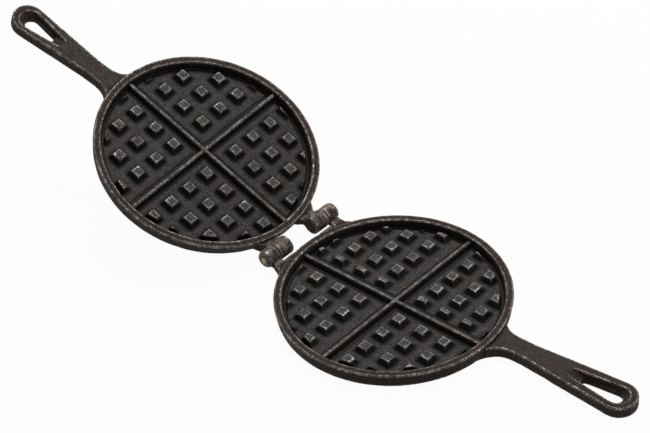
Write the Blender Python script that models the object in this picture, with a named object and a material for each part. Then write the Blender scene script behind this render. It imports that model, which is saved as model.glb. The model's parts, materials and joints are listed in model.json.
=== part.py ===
"""Hinged cast-iron waffle iron: two round plates with cast handles, joined by a pair of short hinge pins.

Each plate is built in its own frame, with the hinge line as its Y axis, +X from the hinge to the handle
and +Z out of the cooking face. The lower plate lies flat, the upper one stands open at OPENING.
The model's origin is under the middle of the lower pan, on the surface that the iron lies on.
"""

from math import atan2, cos, hypot, pi, radians, sin, sqrt

import bmesh
import bpy
from mathutils import Matrix, Vector

MM = 0.001

# Pan
RIM_RADIUS = 92 * MM
RIM_BAND = 6.2 * MM
RIM_CHAMFER = 0.6 * MM
PAN_HEIGHT = 13.5 * MM
WALL_DRAFT = 1.4 * MM
BASE_ROUNDING = 4 * MM
FLOOR_THICKNESS = 6.0 * MM
CAVITY_DRAFT = 0.8 * MM
CAVITY_ROUNDING = 0.8 * MM

# Raised floor of each quarter, which leaves a shallow channel along the wall and the ribs
PAD_HEIGHT = 0.7 * MM
PAD_SLOPE = 0.5 * MM
WALL_CHANNEL = 2.6 * MM

# Cross ribs
RIB_DEPTH = 2.9 * MM
RIB_BASE_WIDTH = 6.0 * MM
RIB_SHOULDER_WIDTH = 4.0 * MM
RIB_TOP_WIDTH = 2.4 * MM
RIB_SHOULDER = 1.1 * MM

# Waffle bumps: square pyramids with flat tops, cut off by the wall
BUMP_DEPTH = 1.8 * MM
BUMP_BASE = 12.6 * MM
BUMP_TOP = 7.8 * MM
BUMP_WALL_SLOPE = 1.0 * MM
BUMP_MARGIN = 0.3 * MM
SMALLEST_BUMP = 2.0 * MM

# Handle
HANDLE_LIFT = 0.7 * MM
HANDLE_THICKNESS = 9.8 * MM
HANDLE_EDGE = 2.4 * MM
NECK_BEYOND_RIM = 26 * MM
NECK_WIDTH = 17 * MM
ROOT_FILLET = 22 * MM

# Hanging hole at the handle's end, and the wide bevel round it
HOLE_MARGIN = 12 * MM
HOLE_END_RADIUS = 6.2 * MM
HOLE_NECK_RADIUS = 3.4 * MM
BEVEL_MARGIN = 6.2 * MM
BEVEL_TAIL = 11 * MM
BEVEL_END_RADIUS = 9.2 * MM
BEVEL_NECK_RADIUS = 4.2 * MM
BEVEL_DEPTH = 4.6 * MM

# Hinge: the inner knuckles are the upper plate's, the outer ones the lower plate's
KNUCKLE_TO_RIM = 2.4 * MM
HINGE_SHIFT = 3 * MM
RIM_GAP = 0.4 * MM
OPENING = radians(22.9)
INNER_KNUCKLE_RADIUS = 7.6 * MM
OUTER_KNUCKLE_RADIUS = 7.2 * MM
KNUCKLE_ROUNDING = 3.2 * MM
INNER_KNUCKLE_START = 13.2 * MM
INNER_KNUCKLE_LENGTH = 14.4 * MM
OUTER_KNUCKLE_LENGTH = 12.8 * MM
KNUCKLE_GAP = 0.3 * MM
LUG_DEPTH = 1.6 * MM
LUG_THICKNESS = 10 * MM
LUG_FLARE = 5 * MM
LUG_STEP = 0.4 * MM
LUG_NOSE = 3.8 * MM
LUG_RISE = 1 * MM
WEB_CLEARANCE = 0.5 * MM
WEB_INSET = 1 * MM
WEB_STEP = 0.5 * MM
WEB_CHAMFER = 1.6 * MM
PIN_RADIUS = 2.1 * MM
PIN_CLEARANCE = 0.3 * MM
PIN_RECESS = 0.3 * MM
PIN_END_WALL = 4.4 * MM

# Facets
PAN_SEGMENTS = 96
KNUCKLE_SEGMENTS = 32
PIN_SEGMENTS = 24
ARC_STEPS = 10
EDGE_STEPS = 4
SMOOTH_ANGLE = radians(30)

# Shares of the full height that a bump cut off by the wall may still reach
BUMP_RISES = (1, 0.8, 0.6, 0.4)

# What differs between the two castings, each in its own frame; a handle's reach is measured from the rim
UPPER = {
    "handle_reach": 105 * MM,
    "handle_offset": 0 * MM,
    "handle_turn": radians(8.8),
    "end_radius": 13.8 * MM,
    "hole_length": 28 * MM,
    "rib_centre": (2.6 * MM, -0.2 * MM),
    "rib_turn": (radians(3.7), radians(3.5)),
    "first": {"+x": 19.8 * MM, "-x": 16.5 * MM, "+y": 15.3 * MM, "-y": 19.0 * MM},
    "pitch": {"+x": 20.5 * MM, "-x": 20.5 * MM, "+y": 21.0 * MM, "-y": 21.2 * MM},
    "channel": {"+x": 5.6 * MM, "-x": 5.6 * MM, "+y": 5.6 * MM, "-y": 5.6 * MM},
}
LOWER = {
    "handle_reach": 121 * MM,
    "handle_offset": 10.8 * MM,
    "handle_turn": radians(4.1),
    "end_radius": 15 * MM,
    "hole_length": 36 * MM,
    "rib_centre": (4.0 * MM, -2.9 * MM),
    "rib_turn": (radians(3.4), radians(0.3)),
    "first": {"+x": 16.8 * MM, "-x": 21.7 * MM, "+y": 10.4 * MM, "-y": 15.0 * MM},
    "pitch": {"+x": 21.3 * MM, "-x": 21.3 * MM, "+y": 18.3 * MM, "-y": 19.2 * MM},
    "channel": {"+x": 5.6 * MM, "-x": 5.6 * MM, "+y": 7.2 * MM, "-y": 5.6 * MM},
}

# Heights in a plate's frame, whose zero is the hinge line
RIM_TOP = -RIM_GAP / 2
UNDERSIDE = RIM_TOP - PAN_HEIGHT
CAVITY_FLOOR = UNDERSIDE + FLOOR_THICKNESS
PAD_TOP = CAVITY_FLOOR + PAD_HEIGHT
INSIDE_FLOOR = (CAVITY_FLOOR + UNDERSIDE) / 2

# Places that follow from the sizes
HINGE_DISTANCE = RIM_RADIUS + KNUCKLE_TO_RIM + INNER_KNUCKLE_RADIUS
NECK_DISTANCE = RIM_RADIUS + NECK_BEYOND_RIM
KNUCKLE_JOINT = INNER_KNUCKLE_START + INNER_KNUCKLE_LENGTH
OUTER_KNUCKLE_END = KNUCKLE_JOINT + OUTER_KNUCKLE_LENGTH
PIN_REACH = INNER_KNUCKLE_LENGTH - PIN_END_WALL
PAN_CENTRE = Vector((HINGE_DISTANCE, 0, 0))
PAD_RADIUS = RIM_RADIUS - RIM_BAND - CAVITY_DRAFT - WALL_CHANNEL


def clear_scene():
    """Remove the objects that a new file holds."""
    for item in list(bpy.data.objects):
        bpy.data.objects.remove(item, do_unlink=True)


def material(name, colour, roughness, metallic):
    """A Principled material with a plain colour."""
    made = bpy.data.materials.new(name)
    made.use_nodes = True
    shader = made.node_tree.nodes["Principled BSDF"]
    shader.inputs["Base Color"].default_value = (*colour, 1)
    shader.inputs["Roughness"].default_value = roughness
    shader.inputs["Metallic"].default_value = metallic
    return made


def object_from(name, shape):
    """Turn a bmesh into an object with its faces pointing out."""
    bmesh.ops.recalc_face_normals(shape, faces=shape.faces)
    mesh = bpy.data.meshes.new(name)
    shape.to_mesh(mesh)
    shape.free()
    made = bpy.data.objects.new(name, mesh)
    bpy.context.collection.objects.link(made)
    return made


def combine(body, tool, operation):
    """Unite the body with a tool object, or cut it with one, and drop the tool."""
    modifier = body.modifiers.new("Combine", "BOOLEAN")
    modifier.operation = operation
    modifier.object = tool
    depsgraph = bpy.context.evaluated_depsgraph_get()
    result = bpy.data.meshes.new_from_object(body.evaluated_get(depsgraph))
    body.modifiers.clear()
    body.data = result
    bpy.data.objects.remove(tool, do_unlink=True)


def turned(profile, segments, axis="Z"):
    """Turn an open profile of (radius, height) points about Z or Y, with a flat cap at both ends."""
    rings = []
    for radius, height in profile:
        angles = [2 * pi * step / segments for step in range(segments)]
        rings.append([(radius * cos(angle), radius * sin(angle), height) for angle in angles])
    shape = loft(rings)
    if axis == "Y":
        bmesh.ops.rotate(shape, verts=shape.verts, matrix=Matrix.Rotation(-pi / 2, 3, "X"))
    return shape


def loft(sections):
    """Skin closed sections that have the same number of points, and cap both ends."""
    shape = bmesh.new()
    rings = [[shape.verts.new(point) for point in section] for section in sections]
    for lower, upper in zip(rings, rings[1:]):
        for step in range(len(lower)):
            following = (step + 1) % len(lower)
            shape.faces.new([lower[step], lower[following], upper[following], upper[step]])
    shape.faces.new(rings[0][::-1])
    shape.faces.new(rings[-1])
    return shape


def arc(centre, radius, start, end, steps=ARC_STEPS):
    """Points on a circle's arc, both ends included."""
    angles = [start + (end - start) * step / steps for step in range(steps + 1)]
    return [(centre[0] + radius * cos(a), centre[1] + radius * sin(a)) for a in angles]


def clip(polygon, normal, limit):
    """Keep the side of a convex polygon where point . normal >= limit."""
    kept = []
    for here, after in zip(polygon, polygon[1:] + polygon[:1]):
        here_over = here[0] * normal[0] + here[1] * normal[1] - limit
        after_over = after[0] * normal[0] + after[1] * normal[1] - limit
        if here_over >= 0:
            kept.append(here)
        if here_over * after_over < 0:
            share = here_over / (here_over - after_over)
            kept.append(tuple(here[k] + share * (after[k] - here[k]) for k in (0, 1)))
    return kept


def width_of(polygon):
    """The smaller side of the box round a polygon, or zero when nothing is left of it."""
    if len(polygon) < 3:
        return 0
    columns = list(zip(*polygon))
    return min(max(column) - min(column) for column in columns)


def pan_body():
    """The solid disc that each plate starts from, with its rim edge and rounded base."""
    foot = RIM_RADIUS - WALL_DRAFT
    rounding = arc((foot - BASE_ROUNDING, UNDERSIDE + BASE_ROUNDING), BASE_ROUNDING, -pi / 2, 0, EDGE_STEPS)
    profile = [*rounding, (RIM_RADIUS, RIM_TOP - RIM_CHAMFER), (RIM_RADIUS - RIM_CHAMFER, RIM_TOP)]
    shape = turned(profile, PAN_SEGMENTS)
    bmesh.ops.translate(shape, verts=shape.verts, vec=PAN_CENTRE)
    return object_from("pan", shape)


def cavity():
    """The cutter for the cooking cavity, which leaves the rim band round it."""
    mouth = RIM_RADIUS - RIM_BAND
    floor_radius = mouth - CAVITY_DRAFT
    clear = RIM_TOP + PAN_HEIGHT
    middle = (floor_radius - CAVITY_ROUNDING, CAVITY_FLOOR + CAVITY_ROUNDING)
    corner = arc(middle, CAVITY_ROUNDING, -pi / 2, 0, EDGE_STEPS // 2)
    profile = [*corner, (mouth, RIM_TOP - RIM_CHAMFER), (mouth + RIM_CHAMFER, RIM_TOP),
               (mouth + RIM_CHAMFER, clear)]
    shape = turned(profile, PAN_SEGMENTS)
    bmesh.ops.translate(shape, verts=shape.verts, vec=PAN_CENTRE)
    return object_from("cavity", shape)


def handle_side(plate, side):
    """One side of the handle, from inside the pan through the root fillet to the neck, with its y mirrored."""
    half = NECK_WIDTH / 2
    inner = RIM_RADIUS - 2 * WALL_DRAFT
    offset, turn = plate["handle_offset"], plate["handle_turn"]
    pan = Vector((-offset * sin(turn), -side * offset * cos(turn)))
    rise = half + ROOT_FILLET - pan.y
    middle = Vector((pan.x + sqrt((inner + ROOT_FILLET) ** 2 - rise**2), half + ROOT_FILLET))
    to_pan = pan - middle
    fillet = arc(middle, ROOT_FILLET, atan2(to_pan.y, to_pan.x), -pi / 2)
    buried = pan.lerp(Vector(fillet[0]), 1 - 2 * RIM_BAND / RIM_RADIUS)
    return [tuple(buried), *fillet, (NECK_DISTANCE, half)]


def handle_outline(plate):
    """The handle's outline: two sides and the round end."""
    end_radius = plate["end_radius"]
    end_centre = RIM_RADIUS + plate["handle_reach"] - end_radius
    lean = atan2(end_radius - NECK_WIDTH / 2, end_centre - NECK_DISTANCE)
    left, right = (handle_side(plate, side) for side in (1, -1))
    tip = arc((end_centre, 0), end_radius, pi / 2 + lean, -pi / 2 - lean, 2 * ARC_STEPS)
    return left + tip + [(x, -y) for x, y in reversed(right)]


def teardrop(start, end, start_radius, end_radius, height):
    """A level outline round two circles, the smaller one nearer the pan."""
    first, last = start + start_radius, end - end_radius
    lean = atan2(end_radius - start_radius, last - first)
    points = arc((last, 0), end_radius, -pi / 2 - lean, pi / 2 + lean)
    points += arc((first, 0), start_radius, pi / 2 + lean, 3 * pi / 2 - lean)
    return [(x, y, height) for x, y in points]


def handle(plate):
    """The flat handle with softened edges and its hanging hole."""
    length = RIM_RADIUS + plate["handle_reach"]
    bottom = UNDERSIDE + HANDLE_LIFT
    top = bottom + HANDLE_THICKNESS
    outline = handle_outline(plate)
    shape = loft([[(x, y, z) for x, y in outline] for z in (bottom, top)])
    rims = [edge for edge in shape.edges if edge.verts[0].co.z == edge.verts[1].co.z]
    bmesh.ops.bevel(shape, geom=rims, offset=HANDLE_EDGE, segments=2, profile=0.5, affect="EDGES")
    made = object_from("handle", shape)

    hole_end = length - HOLE_MARGIN
    hole_start = hole_end - plate["hole_length"]
    bevel_foot = top - BEVEL_DEPTH
    wide = (hole_start - BEVEL_TAIL, length - BEVEL_MARGIN, BEVEL_NECK_RADIUS, BEVEL_END_RADIUS)
    narrow = (hole_start, hole_end, HOLE_NECK_RADIUS, HOLE_END_RADIUS)
    combine(made, object_from("hole", loft([
        teardrop(*narrow, bottom - HANDLE_THICKNESS),
        teardrop(*narrow, bevel_foot),
        teardrop(*wide, top),
        teardrop(*wide, top + HANDLE_THICKNESS),
    ])), "DIFFERENCE")
    place = Matrix.Translation(PAN_CENTRE + Vector((0, plate["handle_offset"], 0)))
    made.data.transform(place @ Matrix.Rotation(plate["handle_turn"], 4, "Z"))
    return made


def lug(middle, width, radius):
    """The arm that joins a knuckle to the pan, flaring where it meets the wall."""
    wall = HINGE_DISTANCE - sqrt(RIM_RADIUS**2 - middle**2)
    root_top = RIM_TOP - LUG_DEPTH
    root_bottom = root_top - LUG_THICKNESS
    half = width / 2
    stations = [
        (0, half, LUG_NOSE, -LUG_NOSE),
        (radius, half, root_top + LUG_RISE, -radius),
        (wall - LUG_FLARE / 2, half + LUG_FLARE / 6, root_top, root_bottom + LUG_RISE),
        (wall, half + LUG_FLARE / 2, root_top, root_bottom),
        (wall + LUG_FLARE, half + LUG_FLARE, root_top, root_bottom),
        (wall + 2 * LUG_FLARE, half + LUG_FLARE, root_top, root_bottom),
    ]
    sections = []
    for x, reach, high, low in stations:
        left, right = middle - reach, middle + reach
        sections.append([(x, left, low), (x, right, low), (x, right, high), (x, left, high)])
    return object_from("lug", loft(sections))


def web(shift, side):
    """The ledge on the lower rim that fills the gap behind the upper plate's knuckle."""
    front = INNER_KNUCKLE_RADIUS + WEB_CLEARANCE
    high = RIM_TOP - LUG_DEPTH - WEB_STEP
    low = RIM_TOP - LUG_DEPTH - LUG_THICKNESS + WEB_STEP
    sections = []
    for distance in (INNER_KNUCKLE_START + WEB_INSET, KNUCKLE_JOINT + LUG_FLARE):
        y = shift + side * distance
        back = HINGE_DISTANCE - sqrt(RIM_RADIUS**2 - y**2) + LUG_FLARE
        profile = [(front, low + WEB_CHAMFER), (front, high - WEB_CHAMFER), (front + WEB_CHAMFER, high),
                   (back, high), (back, low), (front + WEB_CHAMFER, low)]
        sections.append([(x, y, z) for x, z in profile])
    return object_from("web", loft(sections))


def knuckle(start, end, radius, rounding):
    """A knuckle on the hinge line; the end away from the middle may be rounded."""
    side = 1 if end > start else -1
    corner = [(radius, 0)]
    if rounding:
        corner = arc((radius - rounding, -rounding), rounding, 0, pi / 2, EDGE_STEPS)
    profile = [(radius, start), *((reach, end + side * height) for reach, height in corner)]
    return object_from("knuckle", turned(profile, KNUCKLE_SEGMENTS, "Y"))


def knuckle_span(outer):
    """Where a plate's knuckles start and end along the hinge line, from its middle."""
    if outer:
        return KNUCKLE_JOINT + KNUCKLE_GAP / 2, OUTER_KNUCKLE_END
    return KNUCKLE_JOINT - KNUCKLE_GAP / 2, INNER_KNUCKLE_START


def add_knuckles(body, shift, outer):
    """Give a plate its two knuckles with their lugs, the outer pair or the inner one."""
    start, end = knuckle_span(outer)
    radius = OUTER_KNUCKLE_RADIUS if outer else INNER_KNUCKLE_RADIUS
    rounding = KNUCKLE_ROUNDING if outer else 0
    arm_end = end - rounding
    for side in (-1, 1):
        middle = shift + side * (start + arm_end) / 2
        combine(body, lug(middle, abs(arm_end - start) - 2 * LUG_STEP, radius), "UNION")
        if outer:
            combine(body, web(shift, side), "UNION")
        combine(body, knuckle(shift + side * start, shift + side * end, radius, rounding), "UNION")


def bore_knuckles(body, shift, outer):
    """Cut the pin holes: through the outer knuckles, or blind into the inner ones."""
    radius = PIN_RADIUS + PIN_CLEARANCE
    start = KNUCKLE_JOINT - PIN_REACH - PIN_CLEARANCE
    end = OUTER_KNUCKLE_END + PIN_REACH
    for side in (-1, 1):
        near, far = shift + side * start, shift + side * end
        cutter = turned([(radius, near), (radius, far)], PIN_SEGMENTS, "Y")
        combine(body, object_from("bore", cutter), "DIFFERENCE")


def rib_frame(plate):
    """The crossing point of the ribs, and the directions of the long rib and the cross rib."""
    centre = (PAN_CENTRE.x + plate["rib_centre"][0], PAN_CENTRE.y + plate["rib_centre"][1])
    along, across = plate["rib_turn"]
    return centre, (cos(along), sin(along)), (-sin(across), cos(across))


def rib(centre, direction):
    """One straight rib across the pan, with sloping sides and eased shoulders."""
    top = RIM_TOP - RIB_DEPTH
    shoulder = top - RIB_SHOULDER
    slope = (RIB_BASE_WIDTH - RIB_SHOULDER_WIDTH) / 2 / (shoulder - CAVITY_FLOOR)
    root = RIB_SHOULDER_WIDTH / 2 + slope * (shoulder - INSIDE_FLOOR)
    profile = [(root, INSIDE_FLOOR), (RIB_SHOULDER_WIDTH / 2, shoulder), (RIB_TOP_WIDTH / 2, top)]
    profile += [(-side, z) for side, z in reversed(profile)]
    ahead = Vector((*direction, 0))
    left = Vector((-direction[1], direction[0], 0))
    middle = Vector((*centre, 0))
    offset = middle - PAN_CENTRE
    reach = RIM_RADIUS - RIM_BAND / 2
    beside = offset.dot(left)
    half_chord = sqrt(reach**2 - beside**2)
    ends = [middle + ahead * (sign * half_chord - offset.dot(ahead)) for sign in (-1, 1)]
    sections = [[end + left * side + Vector((0, 0, z)) for side, z in profile] for end in ends]
    return object_from("rib", loft(sections))


def quarter_limits(plate, sides, inset):
    """The half planes that bound one quarter of the floor, drawn in by inset."""
    centre, along, across = rib_frame(plate)
    normals = {"x": (across[1], -across[0]), "y": (-along[1], along[0])}
    limits = []
    for side in sides:
        sign = 1 if side[0] == "+" else -1
        normal = tuple(sign * part for part in normals[side[1]])
        base = centre[0] * normal[0] + centre[1] * normal[1]
        limits.append((normal, base + plate["channel"][side] + inset))
    return limits


def round_floor(radius):
    """The circle that cuts the pads and bumps off before the wall."""
    half_step = pi / PAN_SEGMENTS
    return arc(PAN_CENTRE.xy, radius, half_step, 2 * pi - half_step, PAN_SEGMENTS - 1)


def quarter_pad(plate, sides):
    """The raised floor of one quarter, with a sloping edge."""
    levels = [(INSIDE_FLOOR, PAD_SLOPE * (INSIDE_FLOOR - CAVITY_FLOOR) / PAD_HEIGHT), (PAD_TOP, PAD_SLOPE)]
    shape = bmesh.new()
    for height, inset in levels:
        outline = round_floor(PAD_RADIUS - inset)
        for normal, limit in quarter_limits(plate, sides, inset):
            outline = clip(outline, normal, limit)
        for point in outline:
            shape.verts.new((*point, height))
    bmesh.ops.convex_hull(shape, input=shape.verts)
    return object_from("pad", shape)


def bump_outline(plate, sides, middle, rise):
    """The level outline of a bump, at a share of its full height above the pad."""
    _, along, across = rib_frame(plate)
    inset = rise * (BUMP_BASE - BUMP_TOP) / 2
    outline = round_floor(PAD_RADIUS - PAD_SLOPE - BUMP_MARGIN - rise * BUMP_WALL_SLOPE)
    for normal, limit in quarter_limits(plate, sides, PAD_SLOPE + BUMP_MARGIN + inset):
        outline = clip(outline, normal, limit)
    for direction in (along, across):
        for sign in (-1, 1):
            normal = (sign * direction[0], sign * direction[1])
            here = middle[0] * normal[0] + middle[1] * normal[1]
            outline = clip(outline, normal, here - BUMP_BASE / 2 + inset)
    return outline


def bump(shape, plate, sides, middle):
    """Add one bump to the mesh; near the wall it ends in a lower ridge."""
    if width_of(bump_outline(plate, sides, middle, 0)) < SMALLEST_BUMP:
        return
    for rise in BUMP_RISES:
        crest = bump_outline(plate, sides, middle, rise)
        if width_of(crest) > SMALLEST_BUMP / 2:
            break
    else:
        return
    height = RIM_TOP - BUMP_DEPTH - PAD_TOP
    root = bump_outline(plate, sides, middle, (INSIDE_FLOOR - PAD_TOP) / height)
    levels = ((INSIDE_FLOOR, root), (PAD_TOP + rise * height, crest))
    points = [shape.verts.new((*point, height)) for height, outline in levels for point in outline]
    hull = bmesh.ops.convex_hull(shape, input=points)
    spare = [item for item in hull["geom_interior"] if isinstance(item, bmesh.types.BMVert)]
    bmesh.ops.delete(shape, geom=spare, context="VERTS")


def waffle_bumps(plate):
    """The bumps of all four quarters as one mesh of separate pyramids."""
    centre, along, across = rib_frame(plate)
    shape = bmesh.new()
    for x_side in ("+x", "-x"):
        for y_side in ("+y", "-y"):
            x_sign, y_sign = (1 if side[0] == "+" else -1 for side in (x_side, y_side))
            columns = int(RIM_RADIUS / plate["pitch"][x_side]) + 1
            rows = int(RIM_RADIUS / plate["pitch"][y_side]) + 1
            for column in range(columns):
                for row in range(rows):
                    x = x_sign * (plate["first"][x_side] + column * plate["pitch"][x_side])
                    y = y_sign * (plate["first"][y_side] + row * plate["pitch"][y_side])
                    middle = tuple(centre[k] + x * along[k] + y * across[k] for k in (0, 1))
                    if hypot(middle[0] - PAN_CENTRE.x, middle[1]) < RIM_RADIUS + BUMP_BASE:
                        bump(shape, plate, (x_side, y_side), middle)
    return object_from("bumps", shape)


def casting(name, plate, shift, outer):
    """One whole plate: pan, handle and hinge half, with its waffle grid."""
    body = pan_body()
    combine(body, handle(plate), "UNION")
    add_knuckles(body, shift, outer)
    combine(body, cavity(), "DIFFERENCE")
    centre, along, across = rib_frame(plate)
    for direction in (along, across):
        combine(body, rib(centre, direction), "UNION")
    for x_side in ("+x", "-x"):
        for y_side in ("+y", "-y"):
            combine(body, quarter_pad(plate, (x_side, y_side)), "UNION")
    combine(body, waffle_bumps(plate), "UNION")
    bore_knuckles(body, shift, outer)
    body.name = name
    return body


def hinge_pin(name, side):
    """A short pin, a little below the outer knuckle's end and held in the inner knuckle's blind hole."""
    outer_end = OUTER_KNUCKLE_END - PIN_RECESS
    inner_end = KNUCKLE_JOINT - PIN_REACH
    profile = [(PIN_RADIUS, side * inner_end), (PIN_RADIUS, side * outer_end)]
    return object_from(name, turned(profile, PIN_SEGMENTS, "Y"))


def finish(item, surface):
    """Give a piece its material and smooth shading between its edges."""
    item.data.materials.clear()
    item.data.materials.append(surface)
    item.data.shade_smooth()
    item.data.set_sharp_from_angle(angle=SMOOTH_ANGLE)


def build():
    """Both plates and both pins, in their photographed places."""
    clear_scene()
    iron = material("seasoned cast iron", (0.040, 0.036, 0.033), 0.55, 0.6)
    brass = material("dull brass", (0.30, 0.26, 0.14), 0.45, 1.0)
    hinge_line = Vector((-HINGE_DISTANCE, 0, -UNDERSIDE))

    lower = casting("lower_plate", LOWER, HINGE_SHIFT, outer=True)
    lower.location = hinge_line
    upper = casting("upper_plate", UPPER, -HINGE_SHIFT, outer=False)
    upper.location = hinge_line
    upper.rotation_euler = (Matrix.Rotation(OPENING, 4, "Y") @ Matrix.Rotation(pi, 4, "Z")).to_euler()
    pins = [hinge_pin("hinge_pin_near", -1), hinge_pin("hinge_pin_far", 1)]
    for pin in pins:
        pin.location = hinge_line + Vector((0, HINGE_SHIFT, 0))
    for item, surface in ((lower, iron), (upper, iron), (pins[0], brass), (pins[1], brass)):
        finish(item, surface)


build()
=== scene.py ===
# %% [markdown]
# # A cast-iron stovetop waffle iron
# Two round plates hang together on a pair of short pins, and each was poured in one piece with its long
# handle. The solid model gives every place and size. This notebook gives that model the skin of a real
# casting: edges that the sand mould rounded, grain, oil seasoning and the wear of many years.

# %% Start
import json
from math import degrees, pi, radians

import bmesh
import bpy
import numpy as np
from mathutils import Matrix, Vector


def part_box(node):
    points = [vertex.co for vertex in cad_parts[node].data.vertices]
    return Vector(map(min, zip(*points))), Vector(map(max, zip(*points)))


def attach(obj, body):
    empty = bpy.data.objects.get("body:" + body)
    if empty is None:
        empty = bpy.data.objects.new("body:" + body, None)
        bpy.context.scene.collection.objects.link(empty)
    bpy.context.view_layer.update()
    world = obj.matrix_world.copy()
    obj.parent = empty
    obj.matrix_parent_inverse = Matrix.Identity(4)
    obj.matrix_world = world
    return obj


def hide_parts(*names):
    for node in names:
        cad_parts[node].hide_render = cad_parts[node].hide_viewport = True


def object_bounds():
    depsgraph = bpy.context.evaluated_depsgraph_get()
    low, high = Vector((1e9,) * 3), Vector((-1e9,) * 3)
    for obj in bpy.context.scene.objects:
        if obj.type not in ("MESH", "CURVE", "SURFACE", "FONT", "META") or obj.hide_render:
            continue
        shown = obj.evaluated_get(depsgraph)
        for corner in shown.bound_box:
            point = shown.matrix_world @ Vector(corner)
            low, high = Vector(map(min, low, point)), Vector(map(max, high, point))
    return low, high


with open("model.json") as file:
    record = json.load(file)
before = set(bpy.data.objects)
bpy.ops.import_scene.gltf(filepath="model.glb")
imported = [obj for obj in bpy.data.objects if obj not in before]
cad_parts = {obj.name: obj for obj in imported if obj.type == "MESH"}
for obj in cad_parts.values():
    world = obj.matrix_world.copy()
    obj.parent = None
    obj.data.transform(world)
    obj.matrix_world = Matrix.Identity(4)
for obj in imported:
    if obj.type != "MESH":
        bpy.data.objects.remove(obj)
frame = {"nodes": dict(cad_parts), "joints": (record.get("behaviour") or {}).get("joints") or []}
MM = 0.001
cad_low, cad_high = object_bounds()
print("the solid model spans", [round(side / MM, 1) for side in cad_high - cad_low], "mm")

# %% [markdown]
# ## Camera
# The plates look long and flat in the picture, with little perspective, so a long lens from far away fits.
# Two directions fix how the camera is turned: the picture's right, and the way back to the lens. The first is
# squared up against the second, and the picture's up follows from both.

# %% Camera
CAMERA_PLACE = (1.0128, -1.0708, 1.3449)
CAMERA_RIGHT = Vector((0.73177, 0.67978, -0.04911))
CAMERA_BACK = Vector((0.54168, -0.53636, 0.64722))
CAMERA_LENS = 144

view = bpy.data.cameras.new("camera")
view.lens = CAMERA_LENS
camera = bpy.data.objects.new("camera", view)
back = CAMERA_BACK.normalized()
right = (CAMERA_RIGHT - back * CAMERA_RIGHT.dot(back)).normalized()
turn = Matrix((right, back.cross(right), back)).transposed()
camera.matrix_world = Matrix.Translation(CAMERA_PLACE) @ turn.to_4x4()
bpy.context.collection.objects.link(camera)
bpy.context.scene.camera = camera
bpy.context.scene.view_settings.view_transform = "Standard"
print("the camera stands", round(camera.location.length, 2), "m away")

# %% [markdown]
# ## Colours and nodes
# A material is a small network of nodes. One helper adds a node, sets its values and plugs in its links, so a
# finish reads from top to bottom. Colours are chosen as sRGB hex values, as in a paint program, while the
# shader counts in linear light, so another helper converts them by the sRGB standard's own formula.

# %% Colours
def linear(colour):
    """An sRGB hex colour as linear red, green, blue and alpha."""
    parts = [int(colour[place:place + 2], 16) / 255 for place in (1, 3, 5)]
    return [part / 12.92 if part <= 0.04045 else ((part + 0.055) / 1.055) ** 2.4 for part in parts] + [1]


WHITE = linear("#ffffff")
print("middle grey #808080 is", round(linear("#808080")[0], 3), "in linear light")

# %% Nodes
COLOURS, PRODUCT, LARGER = {"data_type": "RGBA"}, {"operation": "MULTIPLY"}, {"operation": "MAXIMUM"}


def add_node(tree, kind, settings=(), **sockets):
    """Add a node; a socket gets a value, or a link where it is given another node or one of its outputs.

    A socket goes by its name, or by its number as n0, n1 and so on where several share a name.
    """
    node = tree.nodes.new(kind)
    for name, value in dict(settings).items():
        setattr(node, name, value)
    for name, value in sockets.items():
        key = int(name[1:]) if name[0] == "n" and name[1:].isdigit() else name.replace("_", " ")
        if isinstance(value, bpy.types.Node):
            value = next(output for output in value.outputs if output.enabled)
        if isinstance(value, bpy.types.NodeSocket):
            tree.links.new(value, node.inputs[key])
        else:
            node.inputs[key].default_value = value
    return node


def new_material(name):
    """An empty material, its tree and its output node."""
    made = bpy.data.materials.new(name)
    made.use_nodes = True
    tree = made.node_tree
    tree.nodes.clear()
    return made, tree, tree.nodes.new("ShaderNodeOutputMaterial")


# %% [markdown]
# ## Shapes
# A new shape is built as a bmesh, Blender's own mesh for scripts, whose operators merge, spin and bevel as
# the editor does. One helper turns a finished one into an object of the scene.

# %% From shape to object
def make_object(shape, name):
    """Turn a finished bmesh into an object of the scene."""
    mesh = bpy.data.meshes.new(name)
    shape.to_mesh(mesh)
    shape.free()
    made = bpy.data.objects.new(name, mesh)
    bpy.context.collection.objects.link(made)
    return made


# %% [markdown]
# ## White surroundings
# Product pictures of dark pans are taken on a white sweep. Floor and air are therefore white for every ray
# that looks at them: from the camera, off a glossy face or through glass. For the rays that only carry light
# they stay ordinary matt paper and dim air, so the white doesn't flood the iron with light. The floor is one
# large disc, and a small share of it stays paper even to the camera, which keeps a faint shadow under the
# iron.

# %% Rays that look
def looked_at(tree):
    """1 for rays from the camera, off a gloss or through glass, and 0 for rays that only carry light."""
    path = add_node(tree, "ShaderNodeLightPath")
    direct = add_node(tree, "ShaderNodeMath", LARGER, n0=path.outputs["Is Camera Ray"],
                      n1=path.outputs["Is Glossy Ray"])
    return add_node(tree, "ShaderNodeMath", LARGER, n0=direct, n1=path.outputs["Is Transmission Ray"])


# %% Floor
FLOOR_RADIUS = 6.0
FLOOR_SEGMENTS = 64
FLOOR_WHITE = 0.96

shape = bmesh.new()
bmesh.ops.create_circle(shape, cap_ends=True, radius=FLOOR_RADIUS, segments=FLOOR_SEGMENTS)
floor = make_object(shape, "floor")

floor_paint, tree, output = new_material("matt white paper")
paper = add_node(tree, "ShaderNodeBsdfDiffuse", Color=linear("#f4f3f1"))
glow = add_node(tree, "ShaderNodeEmission", Color=WHITE, Strength=1.0)
share = add_node(tree, "ShaderNodeMath", PRODUCT, n0=looked_at(tree), n1=FLOOR_WHITE)
both = add_node(tree, "ShaderNodeMixShader", Fac=share, n1=paper, n2=glow)
tree.links.new(both.outputs[0], output.inputs["Surface"])
floor.data.materials.append(floor_paint)
print("the floor is a disc", 2 * FLOOR_RADIUS, "m across")

# %% Air
AIR_LIGHT = 0.07

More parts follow.
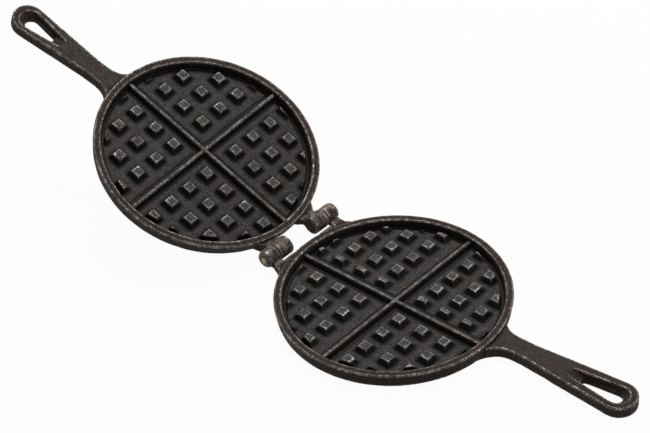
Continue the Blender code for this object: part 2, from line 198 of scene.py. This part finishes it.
world = bpy.data.worlds.new("studio")
bpy.context.scene.world = world
world.use_nodes = True
tree = world.node_tree
tree.nodes.clear()
air = add_node(tree, "ShaderNodeBackground", Color=WHITE, Strength=AIR_LIGHT)
clean = add_node(tree, "ShaderNodeBackground", Color=WHITE, Strength=1.0)
both = add_node(tree, "ShaderNodeMixShader", Fac=looked_at(tree), n1=air, n2=clean)
add_node(tree, "ShaderNodeOutputWorld", Surface=both)
print("the air gives", AIR_LIGHT, "of full white as light")

# %% [markdown]
# ## Light
# A wide soft box hangs high behind the iron. It lights the floor of the pans and the tops of the bumps alike
# and leaves the faces that look at the camera dark, which is what makes a black waffle grid readable. A weak
# one at the right brightens the sides that face it, and the white floor throws light back at the outer walls.

# %% Soft boxes
AIM = (-0.05, 0, 0.03)
SOFT_BOXES = {
    "high_box": {"place": (-0.62, 0.78, 1.72), "width": 0.9, "depth": 0.6, "power": 30},
    "right_box": {"place": (1.3, 0.9, 1.1), "width": 0.7, "depth": 0.7, "power": 6},
}


def soft_box(name, place, width, depth, power):
    """A rectangular area light that looks at the middle of the iron."""
    lamp = bpy.data.lights.new(name, "AREA")
    lamp.shape, lamp.size, lamp.size_y, lamp.energy = "RECTANGLE", width, depth, power
    box = bpy.data.objects.new(name, lamp)
    aim = (Vector(place) - Vector(AIM)).to_track_quat("Z", "Y").to_matrix().to_4x4()
    box.matrix_world = Matrix.Translation(place) @ aim
    bpy.context.collection.objects.link(box)


for name, box in SOFT_BOXES.items():
    soft_box(name, **box)
    print(name, "gives", box["power"], "W")

# %% [markdown]
# ## From solid to casting
# The solid has knife-sharp edges, and a sand casting has none: molten iron rounds every corner and fills
# every angle. Bevelling each edge of a waffle grid is slow and breaks where the wall cuts the bumps. A voxel
# remesh followed by smoothing rounds all of it at once, by about the size of a voxel, as the mould does. A
# copy of the solid is used, its loose triangles are merged first, and it then stands for that node.

# %% Copies and measures
MERGE_DISTANCE = 0.01 * MM


def node_copy(node, name):
    """A merged copy of a node of the solid model."""
    shape = bmesh.new()
    shape.from_mesh(frame["nodes"][node].data)
    bmesh.ops.remove_doubles(shape, verts=shape.verts, dist=MERGE_DISTANCE)
    return make_object(shape, name)


def settle(item):
    """Turn an object's modifiers into its mesh."""
    depsgraph = bpy.context.evaluated_depsgraph_get()
    mesh = bpy.data.meshes.new_from_object(item.evaluated_get(depsgraph))
    item.modifiers.clear()
    item.data = mesh


def points_of(item, field="co"):
    """An object's vertex positions or normals as an array."""
    flat = np.empty(len(item.data.vertices) * 3)
    item.data.vertices.foreach_get(field, flat)
    return flat.reshape(-1, 3)


# %% [markdown]
# ## Where a point lies on its casting
# Some finishes belong to a place: the grips are rounder than the pans, and rust comes to the outside first.
# Both plates share one layout, so each point is looked up in its plate's own frame, where the hinge line is
# the Y axis, +X runs to the handle and +Z out of the pan. The rims lie in its XY plane, so heights inside a
# pan are below zero. The joint's own record says where the hinge is and how far the upper plate stands from
# the flat end of its range. The model's origin lies under the middle of the lower pan, and the two pans are
# the widest of it, so the frame also gives the hinge's distance from the middle and the rim's radius.

# %% Plate frames
hinge = frame["joints"][0]
HINGE_TO_CENTRE = -hinge["pos_m"][0]
RIM_RADIUS = cad_high.y
opening = -radians(hinge["range_deg"][0])
hinge_line = Matrix.Translation((hinge["pos_m"][0], 0, hinge["pos_m"][2]))
PLATE_FRAMES = {
    "lower": hinge_line,
    "upper": hinge_line @ Matrix.Rotation(opening, 4, "Y") @ Matrix.Rotation(pi, 4, "Z"),
}
print("the rims are", round(2 * RIM_RADIUS / MM, 1), "mm across, the upper one", round(degrees(opening), 1),
      "degrees up from flat")


def own_frame(item, body):
    """The points of a plate in its own frame."""
    back = np.array(PLATE_FRAMES[body].inverted())
    return points_of(item) @ back[:3, :3].T + back[:3, 3]


def own_level(item, body):
    """How far each point faces up out of the pan: 1 on a floor or a flat top, 0 on an upright wall."""
    turn = np.array(PLATE_FRAMES[body].inverted())[:3, :3]
    return (points_of(item, "normal") @ turn.T)[:, 2]


def from_middle(place):
    """How far each point in a plate's own frame lies from the middle of the pan."""
    return np.hypot(place[:, 0] - HINGE_TO_CENTRE, place[:, 1])


# %% [markdown]
# ## The skin of a sand mould
# Hands have rubbed the grips and knuckles rounder than the pans. They are smoothed more, through a vertex
# group that starts a little outside the rim, while the ribs and bumps keep the crispness of the voxels. Each
# round of smoothing moves a point halfway to the middle of its neighbours.

# %% Casting skin
VOXEL = 0.5 * MM
SMOOTHING = 2
GRIP_SMOOTHING = 24
GRIP_START = RIM_RADIUS + 3.5 * MM
PASS_SHARE = 0.5


def cast(node, name, body):
    """A plate with mould-rounded edges, and with its handle and knuckles rubbed rounder still."""
    item = node_copy(node, name)
    remesh = item.modifiers.new("voxels", "REMESH")
    remesh.mode, remesh.voxel_size = "VOXEL", VOXEL
    smooth = item.modifiers.new("mould rounding", "SMOOTH")
    smooth.factor, smooth.iterations = PASS_SHARE, SMOOTHING
    settle(item)
    group = item.vertex_groups.new(name="grip")
    outside = np.flatnonzero(from_middle(own_frame(item, body)) > GRIP_START)
    group.add(outside.tolist(), 1.0, "REPLACE")
    smooth = item.modifiers.new("rubbed rounder", "SMOOTH")
    smooth.factor, smooth.iterations, smooth.vertex_group = PASS_SHARE, GRIP_SMOOTHING, group.name
    settle(item)
    print(name, "has", len(item.data.vertices), "points before thinning")
    return item


# %% Castings
plates = {"lower": cast("lower_plate", "lower_casting", "lower"),
          "upper": cast("upper_plate", "upper_casting", "upper")}

# %% [markdown]
# ## Ridges and corners
# Hands, hobs and waffles rub the ridges of an old iron bright, and here they are also lightened as a
# painted highlight. The corners are darkened, partly as burnt oil and partly as painted shade. Both follow
# the shape, so they are measured on the mesh: a point that stands out of its smoothed neighbourhood is on a
# ridge, and one that lies below it is in a corner. A few rounds of smoothing find the sharp edges, and many
# find the wide hollows round the bumps. The results are stored with each point for the material.

# %% Heights over the neighbourhood
RIDGE_PASSES, RIDGE_FULL = 4, 0.06 * MM
CORNER_PASSES, CORNER_FULL = 40, 0.28 * MM


def heights_over_neighbours(item):
    """How far each point stands out of its neighbourhood, over a short reach and over a long one."""
    edges = np.empty(len(item.data.edges) * 2, int)
    item.data.edges.foreach_get("vertices", edges)
    first, second = edges.reshape(-1, 2).T
    points, normals = points_of(item), points_of(item, "normal")
    count = np.bincount(edges, minlength=len(points))
    soft, heights = points.copy(), []
    for passes in range(1, CORNER_PASSES + 1):
        for axis in range(3):
            old = soft[:, axis]
            total = np.bincount(first, old[second], len(points))
            total += np.bincount(second, old[first], len(points))
            soft[:, axis] = (old + total / count) / 2
        if passes in (RIDGE_PASSES, CORNER_PASSES):
            heights.append(((points - soft) * normals).sum(1))
    return heights


# %% Spans and storage
def eased(value, start, end):
    """0 before start, 1 after end, and a smooth rise between them."""
    share = np.clip((value - start) / (end - start), 0, 1)
    return share * share * (3 - 2 * share)


def between(value, rise, fall):
    """1 where a value lies between two spans, easing up over the first and down over the second."""
    return eased(value, *rise) * (1 - eased(value, *fall))


def store(item, name, value):
    """Keep one number per vertex for the materials."""
    layer = item.data.attributes.new(name, "FLOAT", "POINT")
    layer.data.foreach_set("value", value.astype(np.float32))
    print(item.name, name, "covers", round(float((value > 0.5).mean()), 3), "of the points")


# %% [markdown]
# ## What gets rubbed and highlighted
# Only what stands high enough is lightened, as rubbed wear and as a painted highlight: the rim, the ribs, and
# most of all the edges of the bumps. The flat, upward tops of ribs and bumps get a little of it too, partly
# as wear and partly as painted light on top; the bumps' tops get least, as they keep more of their oil. The
# floor of the pan lies too low to be rubbed. Each pair in brackets is a span: what it controls starts at the
# first value and is full at the second.

# %% Wear, highlight and shade
RIM_STARTS = (RIM_RADIUS - 8 * MM, RIM_RADIUS - 5.5 * MM)
EDGES_HIGH = (-3.6 * MM, -2.8 * MM)
RIBS_HIGH = (-3.6 * MM, -3.0 * MM)
BUMPS_HIGH = (-2.6 * MM, -2.2 * MM)
EDGE_SHARP, FLAT_TOP = (0.25, 1), (0.6, 0.9)
RIB_TOP_WEAR_AND_LIGHT, BUMP_TOP_WEAR_AND_LIGHT, BUMP_EDGES = 0.6, 0.28, 0.9
OUTSIDE_CORNER_CUT = 0.8


def measure_ridges_and_corners(item, body):
    """Store ridges lit as wear and painted highlight, corners darkened as burnt oil and painted shade."""
    near, wide = heights_over_neighbours(item)
    place = own_frame(item, body)
    outer = eased(from_middle(place), *RIM_STARTS)
    reached = np.maximum(eased(place[:, 2], *EDGES_HIGH), outer)
    bumps = eased(place[:, 2], *BUMPS_HIGH) * (1 - outer)
    # Edges are lightened as rubbed wear and as a painted highlight, most on the bumps and outside the rim.
    edges = eased(near / RIDGE_FULL * (1 + outer + BUMP_EDGES * bumps), *EDGE_SHARP) * reached
    # Flat, upward tops of ribs and bumps are lightened too, partly as wear and partly as painted light on
    # top.
    flat = eased(place[:, 2], *RIBS_HIGH) * eased(own_level(item, body), *FLAT_TOP) * (1 - outer)
    tops = (RIB_TOP_WEAR_AND_LIGHT * (1 - bumps) + BUMP_TOP_WEAR_AND_LIGHT * bumps) * flat
    store(item, "ridge_wear_and_highlight", np.maximum(edges, tops))
    # Corners are darkened as burnt oil and as painted shade, less outside the rim.
    store(item, "corner_oil_and_shade", np.clip(-wide / CORNER_FULL, 0, 1) * (1 - OUTSIDE_CORNER_CUT * outer))


for body, plate in plates.items():
    measure_ridges_and_corners(plate, body)

# %% [markdown]
# ## Outside and inside
# Rust browns what lies outside, from the rim on, and to a part the tops of the ribs. The flat neck of the
# handle is wiped by the hand and keeps its black. Burnt crust, which is also painted shade, darkens the steep
# faces inside and the outer wall of the pan. The knuckles are rubbed at every opening, and their up-facing
# tops are paler, partly from handling and partly as painted light on top.

# %% Outside, lit knuckle tops and crust shade
UNDER_PAN = (9 * MM, 12 * MM)
WALL_RISE, WALL_FALL = (RIM_RADIUS - 4 * MM, RIM_RADIUS - 2.5 * MM), (RIM_RADIUS, RIM_RADIUS + 1 * MM)
NECK_RISE, NECK_FALL = (RIM_RADIUS, RIM_RADIUS + 5 * MM), (RIM_RADIUS + 50 * MM, RIM_RADIUS + 85 * MM)
NECK_LEVEL, GENTLE_SLOPE = (0.85, 0.97), (0.45, 0.85)
KNUCKLE_REACH, KNUCKLE_LEVEL = (8 * MM, 13 * MM), (-0.1, 0.5)
NECK_WIPED, RIB_RUST, WALL_CRUST_AND_SHADE = 0.8, 0.5, 0.8


def measure_outside(item, body):
    """Store the outside, the lit knuckle tops, and steep faces darkened as crust and painted shade."""
    place, level = own_frame(item, body), own_level(item, body)
    radius, depth = from_middle(place), -place[:, 2]
    outside = np.maximum(eased(radius, *RIM_STARTS), eased(depth, *UNDER_PAN))
    ribs = between(place[:, 2], RIBS_HIGH, BUMPS_HIGH)
    neck = between(radius, NECK_RISE, NECK_FALL) * (place[:, 0] > HINGE_TO_CENTRE) * eased(level, *NECK_LEVEL)
    store(item, "outside", np.maximum(outside * (1 - NECK_WIPED * neck), RIB_RUST * ribs))
    # The up-facing knuckle tops are paler: handling wear and painted light on top.
    from_hinge = np.hypot(place[:, 0], place[:, 2])
    store(item, "knuckle", (1 - eased(from_hinge, *KNUCKLE_REACH)) * eased(level, *KNUCKLE_LEVEL))
    # Burnt crust and painted shade: every steep face inside, and the outer wall of the pan.
    walls = 1 - outside + WALL_CRUST_AND_SHADE * between(radius, WALL_RISE, WALL_FALL) * outside
    store(item, "crust_and_shade", walls * (1 - eased(level, *GENTLE_SLOPE)))


for body, plate in plates.items():
    measure_outside(plate, body)

# %% [markdown]
# ## Sand
# A soft wave, about a tenth of a millimetre high, makes the flats less than flat. A finer one stands for the
# coarse end of the sand. It is drawn at 1.5 mm, because half-millimetre squares can't carry a finer one, and
# the rest of the grain is left to the material. The underside has been slid over hobs until it is flat again,
# so nothing hangs below the plane that the iron lies on. Even squares take the waves well, so the mesh is
# thinned to the wanted number of triangles only after them.

# %% Sand and thinning
WAVE_SIZE, WAVE_HEIGHT = 11 * MM, 0.28 * MM
SAND_SIZE, SAND_HEIGHT = 1.5 * MM, 0.16 * MM
HOB_PLANE = 0
CASTING_TRIANGLES = 195_000


def roughen(item, name, size, height):
    """Move the surface in and out by a procedural cloud of that size."""
    cloud = bpy.data.textures.new(name, "CLOUDS")
    cloud.noise_scale, cloud.noise_depth = size, 1
    push = item.modifiers.new(name, "DISPLACE")
    push.texture, push.texture_coords = cloud, "LOCAL"
    push.strength, push.mid_level = height, 0.5


def triangle_count(item):
    """The triangles that an object's faces come to; a face with n corners is n - 2 of them."""
    return len(item.data.loops) - 2 * len(item.data.polygons)


for body, plate in plates.items():
    roughen(plate, "wave", WAVE_SIZE, WAVE_HEIGHT)
    roughen(plate, "sand", SAND_SIZE, SAND_HEIGHT)
    settle(plate)
    points = points_of(plate)
    points[:, 2] = np.maximum(points[:, 2], HOB_PLANE)
    plate.data.vertices.foreach_set("co", points.ravel())
    thin = plate.modifiers.new("fewer faces", "DECIMATE")
    before = triangle_count(plate)
    thin.ratio = CASTING_TRIANGLES / before
    settle(plate)
    plate.data.shade_smooth()
    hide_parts(body + "_plate")
    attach(plate, body)
    print(plate.name, "is thinned from", before, "to", triangle_count(plate), "triangles")

# %% [markdown]
# ## Hinge pins
# Each pin is a short rod, driven into its knuckle and hammered over, which leaves a low round head a little
# wider than its shank. A half outline is drawn with a few points, its head is rounded by a bevel, and it is
# spun about the hinge line. The solid pin gives its place and thickness.

# %% Pins
HEAD_RISE = 0.9 * MM
HEAD_WIDER = 0.5 * MM
HEAD_LENGTH = 1.2 * MM
HEAD_ROUNDING = 0.25 * MM
PIN_TIP = 0.5 * MM
PIN_STEPS = 32


def hinge_pin(node, name, side):
    """One pin with a hammered head at its outer end; side is -1 or 1 along the hinge line."""
    low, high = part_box(node)
    middle = (low + high) / 2
    radius, half = (high.x - low.x) / 2, (high.y - low.y) / 2
    shank = [(0, -half), (radius - PIN_TIP, -half), (radius, PIN_TIP - half), (radius, half - HEAD_LENGTH)]
    head = [(radius + HEAD_WIDER, half - HEAD_LENGTH / 2), (radius + HEAD_WIDER, half),
            (radius / 2, half + HEAD_RISE), (0, half + HEAD_RISE)]
    shape = bmesh.new()
    line = [shape.verts.new((distance, side * along, 0)) for distance, along in shank + head]
    for here, after in zip(line, line[1:]):
        shape.edges.new((here, after))
    corners = line[len(shank):-1]
    bmesh.ops.bevel(shape, geom=corners, offset=HEAD_ROUNDING, segments=3, profile=0.5, material=-1,
                    affect="VERTICES")
    bmesh.ops.spin(shape, geom=shape.verts[:] + shape.edges[:], cent=(0, 0, 0), axis=(0, 1, 0),
                   angle=2 * pi, steps=PIN_STEPS, use_merge=True)
    bmesh.ops.remove_doubles(shape, verts=shape.verts, dist=MERGE_DISTANCE)
    bmesh.ops.recalc_face_normals(shape, faces=shape.faces)
    bmesh.ops.translate(shape, verts=shape.verts, vec=middle)
    pin = make_object(shape, name)
    pin.data.shade_smooth()
    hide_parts(node)
    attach(pin, "lower")
    print(name, "is", round(2 * radius / MM, 1), "mm thick")
    return pin


pins = [hinge_pin("hinge_pin_near", "near_pin", -1), hinge_pin("hinge_pin_far", "far_pin", 1)]

# %% [markdown]
# ## Seasoned cast iron
# Grey iron poured in sand keeps the grain of the sand. Oil baked onto it turns nearly black with a brown
# cast and is half matt. Where it is rubbed away, the grey metal shows, and outside, where hands and damp
# reach it, rust tints it red-brown. Real foundry sand is 0.2 to 0.5 mm, too fine to show here, so its grain
# is drawn at 1.05 mm. The other two noises are the smudges of old fat and the patches of rust.

# %% Cast iron: noises and measures
GRAIN, SMUDGE, PATCH = 1.05 * MM, 5 * MM, 16 * MM
NOISE_ROUGH = 0.6

iron, tree, output = new_material("seasoned sand-cast iron")
place = add_node(tree, "ShaderNodeTexCoord").outputs["Object"]
ridge_wear_and_highlight, outside, crust_and_shade, knuckle, corner_oil_and_shade = (
    add_node(tree, "ShaderNodeAttribute", {"attribute_name": name}).outputs["Fac"]
    for name in ("ridge_wear_and_highlight", "outside", "crust_and_shade", "knuckle", "corner_oil_and_shade"))
grain, smudge, patch = (
    add_node(tree, "ShaderNodeTexNoise", Vector=place, Scale=1 / size, Detail=detail, Roughness=NOISE_ROUGH)
    for size, detail in ((GRAIN, 2), (SMUDGE, 3), (PATCH, 3)))
print("grain, smudges and rust patches are", [round(size / MM, 2) for size in (GRAIN, SMUDGE, PATCH)], "mm")

# %% [markdown]
# The colour is laid on like paint, from the oil upwards. Each coat has a colour, the noise or measure that
# spreads it, the span of that value over which the coat goes from its first strength to its last, those two
# strengths, and, for some, the place that it keeps to. The pits' span runs backwards, because they are where
# the grain is low.

# %% Cast iron: coats of colour
BAKED_OIL = "#272524"
COATS = [
    ("thicker oil", "#353231", smudge, (0.35, 0.65), (0, 1), None),
    ("rust stains", "#3a271e", patch, (0.52, 0.68), (0, 0.6), None),
    ("brown film", "#281c17", patch, (0.30, 0.60), (0.4, 1), outside),
    ("rust", "#402c23", smudge, (0.40, 0.66), (0, 0.8), outside),
    # Paler knuckle tops: partly handling wear, partly painted light on top.
    ("handled knuckles", "#8c7d70", smudge, (0.40, 0.60), (0, 0.9), knuckle),
    ("sand grains", "#7f7873", grain, (0.52, 0.70), (0, 0.44), None),
    ("pits", "#0f0d0c", grain, (0.48, 0.32), (0, 0.75), None),
    # Burnt crust here is also painted shade on the steep faces and the outer pan wall.
    ("burnt crust and painted shade", "#0e0a08", smudge, (0.30, 0.60), (0.9, 0.7), crust_and_shade),
    # Painted shade and burnt oil in the hollows round the bumps, ribs and walls.
    ("corner oil and painted shade", "#0c0a09", corner_oil_and_shade, (0.06, 0.50), (0, 0.92), None),
]

colour = linear(BAKED_OIL)
for name, tone, spread_by, (start, end), (first, last), keeps_to in COATS:
    share = add_node(tree, "ShaderNodeMapRange", Value=spread_by, From_Min=start, From_Max=end, To_Min=first,
                     To_Max=last)
    if keeps_to:
        share = add_node(tree, "ShaderNodeMath", PRODUCT, n0=share, n1=keeps_to)
    colour = add_node(tree, "ShaderNodeMix", COLOURS, Factor=share, n6=colour, n7=linear(tone))
    colour.label = name
print("coats:", [coat[0] for coat in COATS])

# %% [markdown]
# Rubbing bares the metal on the ridges, and its pale tone also serves as a painted highlight there. It is not
# even: it skips the pits of the grain and leaves smudges. The three are multiplied, so that metal shows only
# where all of them let it.

# %% Cast iron: rubbed ridges and painted highlight
# The pale bare metal also serves as a painted highlight on the ridges and flat tops.
BARE_METAL_AND_HIGHLIGHT = "#96938e"
RUBBED_AND_HIGHLIGHT_WHERE = [
    ("the shape stands out", ridge_wear_and_highlight, (0.2, 0.8), (0, 1)),
    ("the grain stands high", grain, (0.36, 0.60), (0.1, 1)),
    ("no smudge covers it", smudge, (0.38, 0.60), (0.35, 1)),
]

rubbed_and_highlight = 1.0
for name, spread_by, (start, end), (first, last) in RUBBED_AND_HIGHLIGHT_WHERE:
    share = add_node(tree, "ShaderNodeMapRange", Value=spread_by, From_Min=start, From_Max=end, To_Min=first,
                     To_Max=last)
    rubbed_and_highlight = add_node(tree, "ShaderNodeMath", PRODUCT, n0=share, n1=rubbed_and_highlight)
    rubbed_and_highlight.label = name
colour = add_node(tree, "ShaderNodeMix", COLOURS, Factor=rubbed_and_highlight, n6=colour, n7=linear(BARE_METAL_AND_HIGHLIGHT))
print("rubbed where", [where[0] for where in RUBBED_AND_HIGHLIGHT_WHERE])

# %% [markdown]
# Baked oil is half matt, and duller where it is thin. Rust is duller still, while handling polishes the
# knuckles and the bare metal. The grain also tilts the light a little through a bump, too fine for the mesh.

# %% Cast iron: gloss and grain
OIL_SPAN, THIN_OIL_ROUGHNESS, THICK_OIL_ROUGHNESS = (0.3, 0.7), 0.62, 0.48
ROUGHNESS = [("rust", outside, 0.70), ("handled knuckles", knuckle, 0.4), ("bare metal", rubbed_and_highlight, 0.36)]
METAL_SHARE = 0.45
OIL_SHEEN = 0.1
GRAIN_STRENGTH, GRAIN_HEIGHT = 0.8, 0.15 * MM

gloss = add_node(tree, "ShaderNodeMapRange", Value=smudge, From_Min=OIL_SPAN[0], From_Max=OIL_SPAN[1],
                 To_Min=THIN_OIL_ROUGHNESS, To_Max=THICK_OIL_ROUGHNESS)
for name, where, roughness in ROUGHNESS:
    gloss = add_node(tree, "ShaderNodeMix", Factor=where, n2=gloss, n3=roughness)
    gloss.label = name
bare = add_node(tree, "ShaderNodeMath", PRODUCT, n0=rubbed_and_highlight, n1=METAL_SHARE)
bump = add_node(tree, "ShaderNodeBump", Strength=GRAIN_STRENGTH, Distance=GRAIN_HEIGHT, Height=grain)
skin = add_node(tree, "ShaderNodeBsdfPrincipled", Base_Color=colour, Roughness=gloss, Metallic=bare,
                Normal=bump, Specular_IOR_Level=OIL_SHEEN)
tree.links.new(skin.outputs[0], output.inputs["Surface"])
for plate in plates.values():
    plate.data.materials.clear()
    plate.data.materials.append(iron)
print("the iron has", len(tree.nodes), "nodes")

# %% [markdown]
# ## Old brass
# The pins look like brass that has not been polished for years: yellow metal under a brown-green film. The
# film comes in spots of about a millimetre, and it is duller and darker where it is thick.

# %% Brass
FILM_SPOT = 1.2 * MM
FILM_SPAN = (0.35, 0.65)
THICK_FILM, THIN_FILM = "#8f8663", "#b8ad86"
THICK_FILM_ROUGHNESS, THIN_FILM_ROUGHNESS = 0.6, 0.4
BRASS_SHOWING = 0.6

brass, tree, output = new_material("dull old brass")
place = add_node(tree, "ShaderNodeTexCoord").outputs["Object"]
film = add_node(tree, "ShaderNodeTexNoise", Vector=place, Scale=1 / FILM_SPOT, Detail=3,
                Roughness=NOISE_ROUGH)
share = add_node(tree, "ShaderNodeMapRange", Value=film, From_Min=FILM_SPAN[0], From_Max=FILM_SPAN[1])
colour = add_node(tree, "ShaderNodeMix", COLOURS, Factor=share, n6=linear(THICK_FILM), n7=linear(THIN_FILM))
gloss = add_node(tree, "ShaderNodeMix", Factor=share, n2=THICK_FILM_ROUGHNESS, n3=THIN_FILM_ROUGHNESS)
skin = add_node(tree, "ShaderNodeBsdfPrincipled", Base_Color=colour, Roughness=gloss, Metallic=BRASS_SHOWING)
tree.links.new(skin.outputs[0], output.inputs["Surface"])
for pin in pins:
    pin.data.materials.append(brass)
print("the brass has", len(tree.nodes), "nodes")
